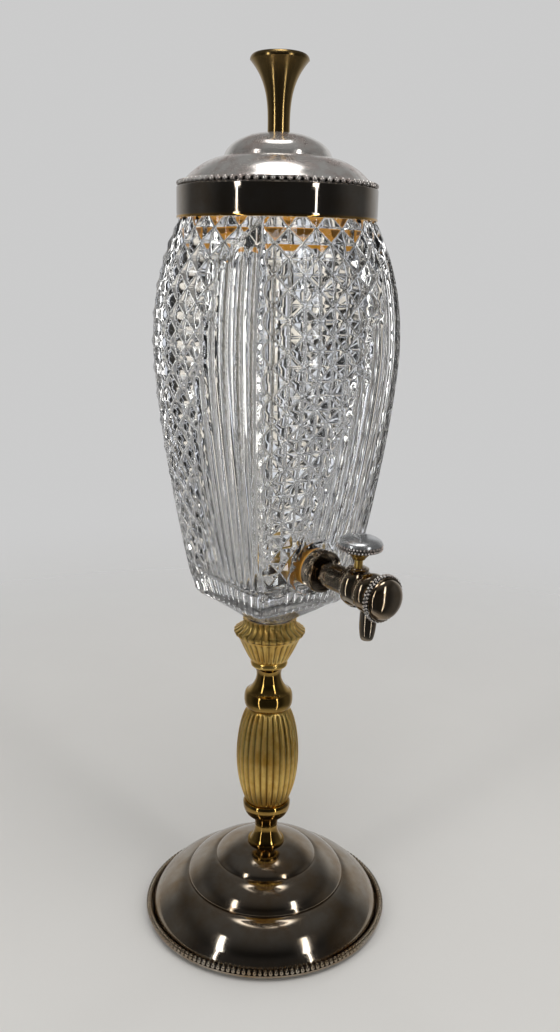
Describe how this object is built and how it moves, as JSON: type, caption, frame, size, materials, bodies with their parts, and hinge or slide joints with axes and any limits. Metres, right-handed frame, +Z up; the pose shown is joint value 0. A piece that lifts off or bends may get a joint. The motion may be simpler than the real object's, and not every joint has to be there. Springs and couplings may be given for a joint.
{
  "type": "absinthe fountain",
  "caption": "Cut glass drink fountain on a fluted brass stem and stepped round base, with a lift-off domed lid with trumpet finial and a sprung push tap.",
  "frame": {"origin": "centre of the base's underside, on the stem's axis, where the felt meets the table", "axes": "+Z up along the stem, -Y the way the tap points, +X to the right of someone facing the tap"},
  "size_m": [0.1176, 0.1384, 0.393],
  "materials": {
    "felt": "matt wool felt",
    "steel": "plain turned steel",
    "iron": "rough casting",
    "nickel_plate": "polished nickel plate, worn warm",
    "gilt_brass": "bright polished brass",
    "dark_brass": "darkened polished brass",
    "silver_plate": "silver plate, fine scratches and tarnish specks",
    "crystal": "clear pressed crystal, diamond and flute cut",
    "cement": "amber resin cement",
    "seal_rubber": "black rubber"
  },
  "bodies": {
    "fountain": {"felt_pad": "felt", "base_plate": "steel", "base_weight": "iron", "base_dome": "nickel_plate", "base_bead_ring": "nickel_plate", "rod_washer": "steel", "rod_nut": "steel", "tie_rod": "steel", "stem_foot": "dark_brass", "lower_knop": "dark_brass", "baluster": "gilt_brass", "upper_knop": "dark_brass", "stem_collar": "gilt_brass", "cup_bowl": "gilt_brass", "cup_crown": "gilt_brass", "vessel_cement": "cement", "glass_vessel": "crystal", "collar_cement": "cement", "neck_collar": "silver_plate", "tap_gasket": "seal_rubber", "tap_flange": "nickel_plate", "inner_gasket": "seal_rubber", "inner_washer": "gilt_brass", "lock_nut": "gilt_brass", "tap_body": "nickel_plate", "valve_plug": "nickel_plate", "gland_seal": "seal_rubber", "gland_nut": "nickel_plate", "spout": "nickel_plate", "front_cap": "nickel_plate", "cap_bead_ring": "nickel_plate", "return_spring": "steel"},
    "lid": {"lid_dome": "silver_plate", "lid_bead_ring": "silver_plate", "lid_liner": "gilt_brass", "lid_finial": "dark_brass", "finial_stud": "steel", "finial_washer": "steel", "finial_nut": "steel"},
    "button": {"button": "nickel_plate", "button_bead_ring": "nickel_plate", "plunger": "gilt_brass", "valve_seal": "seal_rubber"}
  },
  "joints": [
    {"name": "lid_lift", "type": "slide", "parent": "fountain", "child": "lid", "axis": [0, 0, 1], "range_m": [0, 0.06]},
    {"name": "button_press", "type": "slide", "parent": "fountain", "child": "button", "axis": [0, 0.0523, -0.9986], "range_m": [0, 0.003], "stiffness_N_per_m": 400, "springref_m": -0.004, "deforming": ["return_spring"]}
  ]
}
